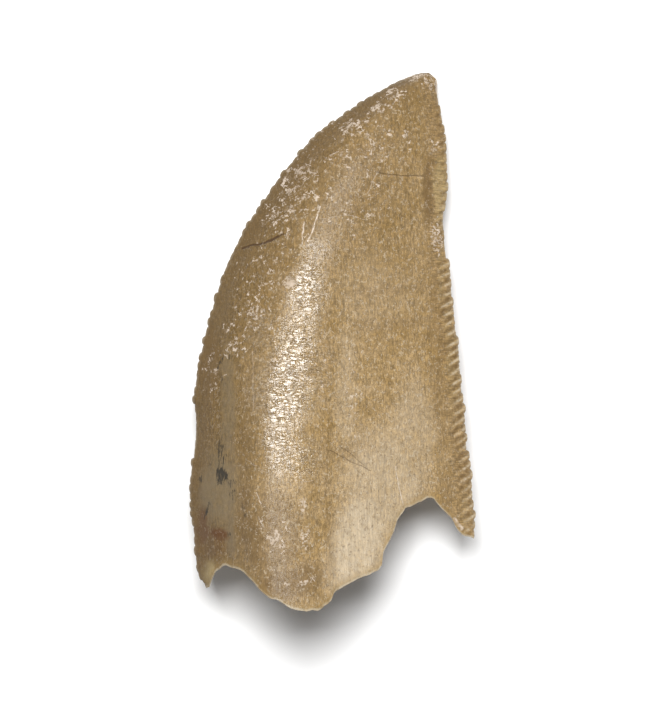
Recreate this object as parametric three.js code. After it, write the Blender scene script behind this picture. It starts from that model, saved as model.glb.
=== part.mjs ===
// A shed tooth crown of a majungasaurus, a large meat-eating dinosaur of Madagascar.
// It lies on its flatter tongue-side face, as it would on a table.
//
// Units are millimetres. +Y runs from the broken base to the tip, +Z points up from the table
// to the cheek-side face, and +X points to the rear cutting edge. The origin is on the table,
// under the middle of the crown.
//
// The crown is a skin over two numbers. u runs across it from the front edge (0) to the rear
// edge (1), and v runs up it from the feet of the two edges (0) to the tip (1).
import * as THREE from "three";

const { clamp, lerp, smoothstep, degToRad } = THREE.MathUtils;

// Cutting edges, seen from above, from the foot of each edge to the tip, without their denticles
const FRONT_EDGE = [
  [-6.3, -12.45], [-6.66, -11.3], [-6.74, -10.0], [-6.92, -8.7], [-7.0, -7.4],
  [-6.88, -6.1], [-6.76, -4.5], [-6.78, -2.8], [-6.5, -0.95], [-6.04, 0.85],
  [-5.34, 3.25], [-4.48, 5.05], [-3.34, 6.85], [-2.1, 8.65], [-0.5, 10.35],
  [1.65, 11.88], [3.4, 12.92], [4.3, 13.3], [4.88, 13.42],
];
const REAR_EDGE = [
  [6.93, -9.97], [6.86, -8.8], [6.8, -7.55], [6.68, -6.3], [6.52, -4.8],
  [6.4, -3.3], [6.32, -1.8], [6.14, -0.15], [5.93, 1.45], [5.76, 3.2],
  [5.56, 4.8], [5.46, 6.05], [5.6, 7.3], [5.6, 8.7], [5.5, 10.2],
  [5.32, 11.55], [5.2, 12.4], [5.2, 13.05], [4.88, 13.42],
];

// Broken rim of the base, seen from above: the cheek side as it shows, and the shorter tongue side
const CHEEK_RIM = [
  [-6.3, -12.45], [-6.1, -12.39], [-5.95, -11.95], [-5.78, -11.6], [-5.47, -11.34],
  [-5.05, -11.34], [-4.45, -11.52], [-4.15, -11.88], [-3.7, -12.28], [-3.1, -12.78],
  [-2.45, -13.12], [-1.8, -13.34], [-1.05, -13.47], [-0.5, -13.38], [-0.15, -13.05],
  [0.02, -12.8], [0.08, -12.5], [0.4, -12.34], [1.0, -12.14], [1.7, -11.74],
  [2.35, -11.46], [2.5, -11.15], [2.56, -10.5], [2.85, -10.0], [3.1, -9.45],
  [3.25, -8.9], [3.58, -8.5], [3.68, -8.3], [4.1, -8.24], [4.83, -7.93],
  [5.08, -8.02], [5.33, -8.35], [6.0, -8.95], [6.2, -9.4], [6.6, -9.8], [6.93, -9.97],
];
const TONGUE_RIM = [
  [-6.3, -12.45], [-5.9, -11.4], [-5.1, -10.7], [-4.1, -10.9], [-2.9, -11.7],
  [-1.5, -12.1], [-0.3, -11.8], [0.5, -11.2], [1.5, -10.7], [2.3, -9.6],
  [2.9, -8.3], [3.9, -7.5], [4.9, -7.2], [5.6, -7.8], [6.3, -9.0], [6.93, -9.97],
];

// Across the crown
const BASE_BOW = 3.4; // how far the growth lines sag towards the base at mid width
const SWELL_POWER = 0.52; // thickness grows as this power of the distance from the tip
const CHEEK_DEPTH = 3.6; // cutting edges to the cheek-side face, at the base
const CHEEK_CREST = 0.37; // u of the highest line
const CHEEK_FRONT_POWER = 2.4; // 1 is a wedge, 2 a round bulge
const CHEEK_REAR_POWER = [1.7, 1.9]; // at the base, at the tip
const RIDGE_HEIGHT = 0.75; // the broad rib that stands on the cheek-side face
const RIDGE_U = 0.335;
const RIDGE_HALF_WIDTH = 0.145;
const RIDGE_SQUARENESS = 2.8;
const RIDGE_FADES = [0.25, 0.95]; // distance from the tip, as a share, where it starts and is full
const TONGUE_DEPTH = 3.4; // cutting edges to the tongue-side face, at the base
const TONGUE_CREST = 0.43;
const TONGUE_POWER = [2.0, 1.85]; // towards the front edge, towards the rear edge

// Along the crown
const NOSE = 0.03; // rounds the tip's underside, as a share of the crown
const UNDERSIDE_WAVE = 3; // the tongue-side face is hollow near the tip and full near the base
const WAVE_ZERO = 0.38; // where the fullness starts, from the tip, as a share of the crown

// Hollow of the base, left by the pulp and widened when the tooth was shed
const RIM_WALL = 0.4;
const DEEP_WALL = 0.8;
const PULP_SPAN = [0.075, 0.925]; // the hollow's reach across the crown, in u
const PULP_MIDDLE = 0.43;
const PULP_END = 0.5; // v of its closed end
const PULP_SQUARENESS = 6; // across the crown: 2 is an ellipse
const PULP_BLUNTNESS = 0.5; // 1 is a round closed end, and less is a blunter one

// Worn facet at the tip
const FACET_POINT = new THREE.Vector3(4.6, 13.3, 0.9);
const FACET_NORMAL = new THREE.Vector3(-0.25, 0.85, 0.46).normalize();

// Denticles: their pitch along the edge, how far each rib leans towards the tip on its way in,
// how far it reaches onto the faces, and how far the denticles stand out up to each distance from
// the foot of the edge. Nought is a stretch where they are worn off or chipped away.
const REAR_DENTICLES = {
  pitch: 0.485,
  lean: Math.tan(degToRad(10)),
  reach: 0.95,
  standOut: [[3.5, 0.3], [5.1, 0.13], [6.8, 0.26], [9.8, 0.09], [14.1, 0.15], [16.3, 0], [21.6, 0.14],
    [Infinity, 0]],
};
const FRONT_DENTICLES = {
  pitch: 0.44,
  lean: Math.tan(degToRad(4)),
  reach: 0.6,
  standOut: [[0.5, 0], [3.4, 0.13], [6.4, 0.18], [9.2, 0], [21.6, 0.16], [25.6, 0.09], [Infinity, 0]],
};
const DENTICLE_FLANK = 0.2; // share of the pitch from a notch to the full height of a denticle
const DENTICLE_RISE = 0.07; // of a rib above the crown's face
const NOTCH_DEPTH = 0.06; // of the groove between two ribs, below the crown's face

// Mesh resolution
const FACE_COLUMNS = 28; // across each face, between the ribs of the two edges
const FACE_ROWS = 28; // from rim to tip
const ROW_CROWDING = 1.5; // above 1, the rows are closer together towards the tip
const RIB_SHARES = [0.45, 1]; // of the ribs' reach from the edge, where their columns run
const MOST_RIB = 0.12; // of the crown's width that one edge's ribs take up
const SHORTEST_STEP = 0.1; // along an edge
const PULP_ROWS = 7;
const RIM_SEARCH = [-0.1, 0.6]; // v between which the rim lies
const HALVINGS = 40;

function curveThrough(points) {
  const at = points.map(([x, y]) => new THREE.Vector3(x, y, 0));
  return new THREE.CatmullRomCurve3(at, false, "catmullrom", 0.5);
}

const frontEdge = curveThrough(FRONT_EDGE);
const rearEdge = curveThrough(REAR_EDGE);

// A point of the crown in plan. Growth lines sag towards the base.
function planPoint(u, v) {
  const front = frontEdge.getPointAt(clamp(v, 0, 1));
  const rear = rearEdge.getPointAt(clamp(v, 0, 1));
  const sag = BASE_BOW * (1 - v) * 4 * u * (1 - u);
  return new THREE.Vector2(lerp(front.x, rear.x, u), lerp(front.y, rear.y, u) - sag);
}

// Half of a cross-section: 0 at both edges and 1 at the crest
function lens(u, crest, frontPower, rearPower) {
  return u < crest
    ? 1 - ((crest - u) / crest) ** frontPower
    : 1 - ((u - crest) / (1 - crest)) ** rearPower;
}

function cheekHeight(u, v) {
  const fromTip = 1 - v;
  const rearPower = lerp(CHEEK_REAR_POWER[0], CHEEK_REAR_POWER[1], v);
  const face = CHEEK_DEPTH * fromTip ** SWELL_POWER * lens(u, CHEEK_CREST, CHEEK_FRONT_POWER, rearPower);
  const ridge = Math.exp(-(Math.abs((u - RIDGE_U) / RIDGE_HALF_WIDTH) ** RIDGE_SQUARENESS));
  return face + RIDGE_HEIGHT * smoothstep(fromTip, ...RIDGE_FADES) * ridge;
}

function tongueDepth(u, v) {
  return TONGUE_DEPTH * (1 - v) ** SWELL_POWER * lens(u, TONGUE_CREST, ...TONGUE_POWER);
}

// Height of the cutting edges above the table
function edgeLevel(v) {
  const fromTip = 1 - v;
  const wave = UNDERSIDE_WAVE * fromTip * (fromTip - WAVE_ZERO) * (fromTip - 1);
  return TONGUE_DEPTH * Math.hypot(fromTip, NOSE) ** SWELL_POWER + wave;
}

// The tip is worn to a facet, and the full part of the underside is worn flat where it rests.
function worn(point) {
  const past = point.clone().sub(FACET_POINT).dot(FACET_NORMAL);
  if (past > 0) point.addScaledVector(FACET_NORMAL, -past);
  point.z = Math.max(point.z, 0);
  return point;
}

function cheekPoint(u, v) {
  const { x, y } = planPoint(u, v);
  return worn(new THREE.Vector3(x, y, edgeLevel(v) + cheekHeight(u, v)));
}

function tonguePoint(u, v) {
  const { x, y } = planPoint(u, v);
  return worn(new THREE.Vector3(x, y, edgeLevel(v) - tongueDepth(u, v)));
}

// The v at which the column u meets a rim outline, found by halving
function rimV(u, outline) {
  if (u === 0 || u === 1) return 0;
  let [low, high] = RIM_SEARCH;
  for (let i = 0; i < HALVINGS; i++) {
    const middle = (low + high) / 2;
    const { x, y } = planPoint(u, middle);
    if (y < outlineY(outline, x)) low = middle;
    else high = middle;
  }
  return high;
}

function outlineY(outline, x) {
  const next = clamp(outline.findIndex((point) => point[0] >= x), 1, outline.length - 1);
  const [[x0, y0], [x1, y1]] = [outline[next - 1], outline[next]];
  return lerp(y0, y1, clamp((x - x0) / (x1 - x0), 0, 1));
}

// Whether a place along an edge is on a denticle (1), in a notch (0) or between, and how far
// that denticle stands out
function serration({ pitch, standOut }, distance) {
  const index = Math.floor(distance / pitch);
  const phase = distance / pitch - index;
  const stretch = standOut.find(([upTo]) => (index + 0.5) * pitch < upTo);
  return { onRib: clamp(Math.min(phase, 1 - phase) / DENTICLE_FLANK, 0, 1), out: stretch[1] };
}

// Distances from the foot of an edge that its columns pass through: both ends of each notch, and
// its bottom
function stopsAlong(edge, denticles) {
  const stops = [];
  for (let i = 0; i * denticles.pitch < edge.getLength(); i++) {
    const worn = serration(denticles, (i + 0.5) * denticles.pitch).out === 0;
    const phases = worn ? [0] : [0, DENTICLE_FLANK, 1 - DENTICLE_FLANK];
    stops.push(...phases.map((phase) => (i + phase) * denticles.pitch));
  }
  return stops;
}

const FRONT = { edge: frontEdge, denticles: FRONT_DENTICLES, fromEdge: (u) => u, outward: -1 };
const REAR = { edge: rearEdge, denticles: REAR_DENTICLES, fromEdge: (u) => 1 - u, outward: 1 };
const CHEEK = { rim: CHEEK_RIM, point: cheekPoint, height: cheekHeight, sign: 1 };
const TONGUE = { rim: TONGUE_RIM, point: tonguePoint, height: tongueDepth, sign: -1 };

const tipPoint = cheekPoint(0, 1);
const baseWidth = planPoint(0, 0).distanceTo(planPoint(1, 0));

// A column of the skin runs from the broken rim to the tip. This one crosses the ribs of one
// edge, at a share of their reach.
function ribColumn(end, side, share) {
  const { edge, denticles, fromEdge, outward } = end;
  const inward = share * denticles.reach;
  const lead = inward * denticles.lean;
  const uAt = (v) => {
    const width = planPoint(0, v).distanceTo(planPoint(1, v));
    return fromEdge(Math.min(inward / width, share * MOST_RIB));
  };
  const length = edge.getLength();
  const foot = rimV(uAt(0), side.rim);
  const steps = stopsAlong(edge, denticles).map((stop) => (stop - lead) / length);
  const vs = [foot, ...steps.filter((v) => v > foot + SHORTEST_STEP / length && v < 1)];
  const points = vs.map((v) => {
    const point = side.point(uAt(v), v);
    const { onRib, out } = serration(denticles, v * length + lead);
    if (share === 0) {
      const along = edge.getTangentAt(clamp(v, 0, 1));
      point.x += outward * along.y * out * onRib;
      point.y -= outward * along.x * out * onRib;
    } else if (share < 1 && out > 0) {
      point.z = Math.max(point.z + side.sign * lerp(-NOTCH_DEPTH, DENTICLE_RISE, onRib), 0);
    }
    return point;
  });
  return { vs: [...vs, 1], points: [...points, tipPoint] };
}

// A plain column of one face
function faceColumn(side, u) {
  const foot = rimV(u, side.rim);
  const rows = Array.from({ length: FACE_ROWS }, (_, i) => 1 - (1 - i / FACE_ROWS) ** ROW_CROWDING);
  const vs = rows.map((share) => lerp(foot, 1, share));
  return { vs: [...vs, 1], points: [...vs.map((v) => side.point(u, v)), tipPoint] };
}

// Stations from the front edge to the rear edge, each with a column on either face. The two
// faces share one column at each edge.
function makeStations() {
  const edgeStation = (end) => {
    const column = ribColumn(end, CHEEK, 0);
    return { u: end.fromEdge(0), cheek: column, tongue: column };
  };
  const ribStation = (end, share) => ({
    u: end.fromEdge((share * end.denticles.reach) / baseWidth),
    cheek: ribColumn(end, CHEEK, share),
    tongue: ribColumn(end, TONGUE, share),
  });
  const faceStation = (u) => ({ u, cheek: faceColumn(CHEEK, u), tongue: faceColumn(TONGUE, u) });
  const ribsOf = (end) => [edgeStation(end), ...RIB_SHARES.map((share) => ribStation(end, share))];

  const front = ribsOf(FRONT);
  const rear = ribsOf(REAR).reverse();
  const middle = Array.from({ length: FACE_COLUMNS - 1 }, (_, i) =>
    faceStation(lerp(front.at(-1).u, rear[0].u, (i + 1) / FACE_COLUMNS)),
  );
  return [...front, ...middle, ...rear];
}

const stations = makeStations();
const isHollow = ({ u }) => u > PULP_SPAN[0] && u < PULP_SPAN[1];

// A point of the hollow's wall, at a depth from the rim (0) to the closed end (1)
function pulpPoint(side, station, depth) {
  const across = (station.u - PULP_SPAN[0]) / (PULP_SPAN[1] - PULP_SPAN[0]);
  const open = 1 - Math.abs(2 * clamp(across, 0, 1) - 1) ** PULP_SQUARENESS;
  const closing = Math.cos((depth * Math.PI) / 2) ** PULP_BLUNTNESS;
  const rims = [station.tongue.vs[0], station.cheek.vs[0]];
  const rim = lerp((rims[0] + rims[1]) / 2, rims[side === CHEEK ? 1 : 0], open);
  const v = lerp(rim, PULP_END, Math.sin((depth * Math.PI) / 2));
  const u = lerp(PULP_MIDDLE, station.u, closing);
  const reach = Math.max(side.height(u, v) - lerp(RIM_WALL, DEEP_WALL, depth), 0) * open * closing;
  const { x, y } = planPoint(u, v);
  return new THREE.Vector3(x, y, edgeLevel(v) + side.sign * reach);
}

// One row of the hollow, with a point on either face for each station. Where there is no hollow
// the two are one point, and they are also one at its closed end.
function pulpRow(depth) {
  const end = pulpPoint(CHEEK, stations[0], 1);
  return stations.map((station) => {
    if (depth === 1) return { cheek: end, tongue: end };
    if (isHollow(station)) {
      return { cheek: pulpPoint(CHEEK, station, depth), tongue: pulpPoint(TONGUE, station, depth) };
    }
    const [cheek, tongue] = [station.cheek.points[0], station.tongue.points[0]];
    if (cheek === tongue) return { cheek, tongue };
    const between = depth === 0 ? cheek.clone().lerp(tongue, 0.5) : pulpPoint(CHEEK, station, depth);
    return { cheek: between, tongue: between };
  });
}

const pulpRows = Array.from({ length: PULP_ROWS + 1 }, (_, i) => pulpRow(i / PULP_ROWS));

// A closed ring: over the cheek side from front to rear, and back over the tongue side
function ringOf(pairs) {
  const over = pairs.map(({ cheek }) => cheek);
  const back = pairs.map(({ tongue }) => tongue).reverse();
  return [...over, ...back, over[0]];
}

const triangles = []; // of points, all facing out

// Joins two neighbouring columns, left and right as seen from outside
function joinColumns(left, right) {
  let i = 0;
  let j = 0;
  while (i + 1 < left.vs.length || j + 1 < right.vs.length) {
    const leftNext = left.vs[i + 1] ?? Infinity;
    const rightNext = right.vs[j + 1] ?? Infinity;
    if (leftNext < rightNext) {
      triangles.push([left.points[i], right.points[j], left.points[i + 1]]);
      i += 1;
    } else {
      triangles.push([left.points[i], right.points[j], right.points[j + 1]]);
      j += 1;
    }
  }
}

// Joins two rings of equal length, the outer one first
function joinRings(outer, inner) {
  for (let k = 0; k + 1 < outer.length; k++) {
    triangles.push([outer[k + 1], outer[k], inner[k]], [outer[k + 1], inner[k], inner[k + 1]]);
  }
}

function makeOutside() {
  const columns = ringOf(stations);
  columns.slice(1).forEach((column, i) => joinColumns(columns[i], column));
}

function makeBrokenRim() {
  const feet = ({ cheek, tongue }) => ({ cheek: cheek.points[0], tongue: tongue.points[0] });
  const outside = stations.map(feet);
  joinRings(ringOf(outside), ringOf(pulpRows[0]));
}

function makeHollow() {
  const first = stations.findIndex(isHollow) - 1;
  const last = stations.findLastIndex(isHollow) + 1;
  const rings = pulpRows.map((row) => ringOf(row.slice(first, last + 1)));
  rings.slice(1).forEach((ring, i) => joinRings(rings[i], ring));
}

// Each point is stored once. Triangles with a repeated point have closed up, and are left out.
function closedGeometry() {
  const places = new Map();
  const indexOf = (point) => {
    if (!places.has(point)) places.set(point, places.size);
    return places.get(point);
  };
  const open = triangles.filter(([a, b, c]) => a !== b && b !== c && c !== a);
  const geometry = new THREE.BufferGeometry();
  geometry.setIndex(open.flat().map(indexOf));
  const numbers = [...places.keys()].flatMap((point) => point.toArray());
  geometry.setAttribute("position", new THREE.Float32BufferAttribute(numbers, 3));
  geometry.computeVertexNormals();
  return geometry;
}

makeOutside();
makeBrokenRim();
makeHollow();

const enamel = new THREE.MeshStandardMaterial({ color: 0xa89068, roughness: 0.45, metalness: 0 });
const crown = new THREE.Mesh(closedGeometry(), enamel);
crown.name = "tooth_crown";

const tooth = new THREE.Group();
tooth.name = "majungasaurus_tooth";
tooth.add(crown);

export default tooth;
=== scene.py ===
"""A shed tooth crown of a majungasaurus, as it lies on a pale table.

Shapes are worked out in millimetres in the frame of the CAD model, and turned into metres where
a mesh is made. +Y runs from the broken base to the tip, +Z up to the cheek-side face and +X to
the rear cutting edge. The crown is a skin over two numbers: u runs across it from the front edge
(0) to the rear edge (1), and v up it from the feet of the two edges (0) to the tip (1).
"""

import math

import bpy
import numpy as np
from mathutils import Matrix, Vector


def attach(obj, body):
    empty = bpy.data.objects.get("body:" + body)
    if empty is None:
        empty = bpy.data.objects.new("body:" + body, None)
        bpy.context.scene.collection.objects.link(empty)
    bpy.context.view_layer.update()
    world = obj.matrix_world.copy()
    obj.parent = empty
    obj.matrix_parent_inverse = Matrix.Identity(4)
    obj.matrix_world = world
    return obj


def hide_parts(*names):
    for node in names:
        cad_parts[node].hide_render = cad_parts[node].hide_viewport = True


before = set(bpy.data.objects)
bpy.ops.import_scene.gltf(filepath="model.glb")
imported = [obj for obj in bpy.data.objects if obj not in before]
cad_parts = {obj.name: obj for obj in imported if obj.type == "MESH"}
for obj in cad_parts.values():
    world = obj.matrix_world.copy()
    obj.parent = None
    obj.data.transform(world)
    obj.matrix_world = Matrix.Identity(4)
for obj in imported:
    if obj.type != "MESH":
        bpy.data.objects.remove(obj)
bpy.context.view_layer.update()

MM = 0.001  # metres in a millimetre

# Camera
PICTURE = (665, 702)  # pixels
PIXEL = 0.05  # millimetres at the height of the cutting edges
PICTURE_MIDDLE = (0.025, -0.6)
EDGE_HEIGHT = 3.2
LENS = 400.0
SENSOR = 36.0
FAR_LIMIT = 10  # metres

# Light and floor, in metres and watts
KEY_PLACE = (-0.02, 0.16, 0.44)
KEY_SIZE = 0.22
KEY_POWER = 3.6
SKY_STRENGTH = 0.22
FLOOR_SIZE = 1.2
FLOOR_WHITE = (0.86, 0.86, 0.86)
FLOOR_ROUGHNESS = 0.9
FLOOR_SPECULAR = 0.1

# Cutting edges, seen from above, from the foot of each edge to the tip, without denticles
FRONT_EDGE = [
    (-6.3, -12.45), (-6.66, -11.3), (-6.74, -10.0), (-6.92, -8.7), (-7.0, -7.4),
    (-6.88, -6.1), (-6.76, -4.5), (-6.78, -2.8), (-6.5, -0.95), (-6.04, 0.85),
    (-5.34, 3.25), (-4.48, 5.05), (-3.34, 6.85), (-2.1, 8.65), (-0.5, 10.35),
    (1.65, 11.88), (3.4, 12.92), (4.3, 13.3), (4.88, 13.42),
]
REAR_EDGE = [
    (6.93, -9.97), (6.86, -8.8), (6.8, -7.55), (6.68, -6.3), (6.52, -4.8),
    (6.4, -3.3), (6.32, -1.8), (6.14, -0.15), (5.93, 1.45), (5.76, 3.2),
    (5.56, 4.8), (5.46, 6.05), (5.6, 7.3), (5.6, 8.7), (5.5, 10.2),
    (5.32, 11.55), (5.2, 12.4), (5.2, 13.05), (4.88, 13.42),
]

# Broken rim of the base, seen from above: the cheek side as it shows, and the shorter tongue side
CHEEK_RIM = [
    (-6.3, -12.45), (-6.1, -12.39), (-5.95, -11.95), (-5.78, -11.6), (-5.47, -11.34),
    (-5.05, -11.34), (-4.45, -11.52), (-4.15, -11.88), (-3.7, -12.28), (-3.1, -12.78),
    (-2.45, -13.12), (-1.8, -13.34), (-1.05, -13.47), (-0.5, -13.38), (-0.15, -13.05),
    (0.02, -12.8), (0.08, -12.5), (0.4, -12.34), (1.0, -12.14), (1.7, -11.74),
    (2.35, -11.46), (2.5, -11.15), (2.56, -10.5), (2.85, -10.0), (3.1, -9.45),
    (3.25, -8.9), (3.58, -8.5), (3.68, -8.3), (4.1, -8.24), (4.83, -7.93),
    (5.08, -8.02), (5.33, -8.35), (6.0, -8.95), (6.2, -9.4), (6.6, -9.8), (6.93, -9.97),
]
TONGUE_RIM = [
    (-6.3, -12.45), (-5.9, -11.4), (-5.1, -10.7), (-4.1, -10.9), (-2.9, -11.7),
    (-1.5, -12.1), (-0.3, -11.8), (0.5, -11.2), (1.5, -10.7), (2.3, -9.6),
    (2.9, -8.3), (3.9, -7.5), (4.9, -7.2), (5.6, -7.8), (6.3, -9.0), (6.93, -9.97),
]

# Across the crown
BASE_BOW = 3.4  # how far the growth lines sag towards the base at mid width
SWELL_POWER = 0.52  # thickness grows as this power of the distance from the tip
CHEEK_DEPTH = 3.6
CHEEK_CREST = 0.37
CHEEK_FRONT_POWER = 2.4
CHEEK_REAR_POWER = (1.7, 1.9)  # at the base, at the tip
RIDGE_HEIGHT = 0.65
RIDGE_U = 0.335
RIDGE_HALF_WIDTH = 0.152
RIDGE_SQUARENESS = 5.0
RIDGE_TILT = 2.2  # share by which the ridge grows towards the front, per unit of u
RIDGE_TILTS = (0.45, 0.8)  # share of the length from the tip over which the ridge gets its tilt
RIDGE_FADES = (0.25, 0.95)  # share of the length from the tip over which it gets its height
TONGUE_DEPTH = 3.4
TONGUE_CREST = 0.43
TONGUE_POWER = (2.0, 1.85)

# Along the crown
NOSE = 0.03
UNDERSIDE_WAVE = 3
WAVE_ZERO = 0.38

# Hollow of the base
RIM_WALL = 0.4
DEEP_WALL = 0.8
PULP_SPAN = (0.075, 0.925)
PULP_MIDDLE = 0.43
PULP_END = 0.5
PULP_SQUARENESS = 6
PULP_BLUNTNESS = 0.5

# Worn facet at the tip
FACET_POINT = np.array((4.6, 13.3, 0.9))
FACET_NORMAL = np.array((-0.25, 0.85, 0.46)) / np.linalg.norm((-0.25, 0.85, 0.46))

# Denticles, spaced as in the CAD model. Each pair of stand_out is a distance along the edge and
# how far the denticles stand out up to there.
REAR_DENTICLES = {
    "pitch": 0.485,
    "lean": math.tan(math.radians(14)),
    "reach": 1.05,
    "contrast": 1.0,
    "stand_out": [(3.5, 0.42), (5.1, 0.26), (6.8, 0.38), (9.8, 0.2), (14.1, 0.2), (16.3, 0.11),
                  (21.6, 0.2), (math.inf, 0.15)],
}
FRONT_DENTICLES = {
    "pitch": 0.44,
    "lean": math.tan(math.radians(4)),
    "reach": 0.55,
    "contrast": 0.5,
    "stand_out": [(0.5, 0.0), (3.4, 0.16), (6.4, 0.22), (9.2, 0.08), (21.6, 0.2), (25.6, 0.18),
                  (math.inf, 0.16)],
}
RIB_RISE = 0.035
NOTCH_DEPTH = 0.045
PEAK = 0.58  # where the point of a denticle is, as a share of its width from the base side
DENTICLE_ROUNDNESS = 1.5  # 1 makes denticles pointed, and more makes them rounder
STAND_OUT_RANGE = (0.55, 1.3)  # of a single denticle, as a share of the stand-out
GAP_DEPTH = 0.65  # share of the stand-out that the gap between two denticles takes away
POINT_POWER = 0.6  # less than 1 makes the outline of a denticle fuller
TOOTH_TAPER = 0.3  # inward distance over which a denticle's outward push dies away
TAPER_POWER = 0.7
PLACE_WANDER = (0.07, 0.9)  # how far denticles stray along the edge, over what distance
WANDER_STRETCH = 0.4  # less than 1 keeps the straying alike along the length of a rib
BARE_TIP = 0.04  # share of the edge at the tip over which the denticles die away
WORN_SPAN = (0.5, 0.65)  # v over which the ribs grow shorter and fainter
WORN_REACH = 0.35
WORN_CONTRAST = 0.3
REACH_VARIES = (0.8, 0.3)  # length of the ribs, and how much it varies, as shares of reach
REACH_WANDER = 0.5  # distance over which their length varies
RIB_START = 0.15  # share of its length at which a rib starts to fade
RIB_SHOWS = (0.03, 0.07)  # stand-out at which ribs begin to show, and what more makes them full
# The edge zones are darkened partly for their grey-brown tone and partly as painted shade where the
# surface turns from the light
EDGE_ZONE = 2.0  # width of the zone that the materials darken along each edge

# Low relief: height, size and seed, and u and half width of each groove
SWELLS = ((0.02, 2.6, 11), (0.008, 0.8, 12))
WRINKLES = (0.016, 0.28, 13)
WRINKLE_STRETCH = 2.2
CRUST = (0.012, 0.3, 14)
GROOVES = ((0.155, 0.016), (0.492, 0.012))
GROOVE_DEPTH = 0.07
GROOVE_FADES = (0.45, 0.8)  # share of the length from the tip over which the grooves deepen
CALM_TIP = 0.12  # share of the length at the tip over which the relief dies away
PULP_ROUGHNESS = ((0.05, 0.9, 21), (0.02, 0.3, 22))

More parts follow.
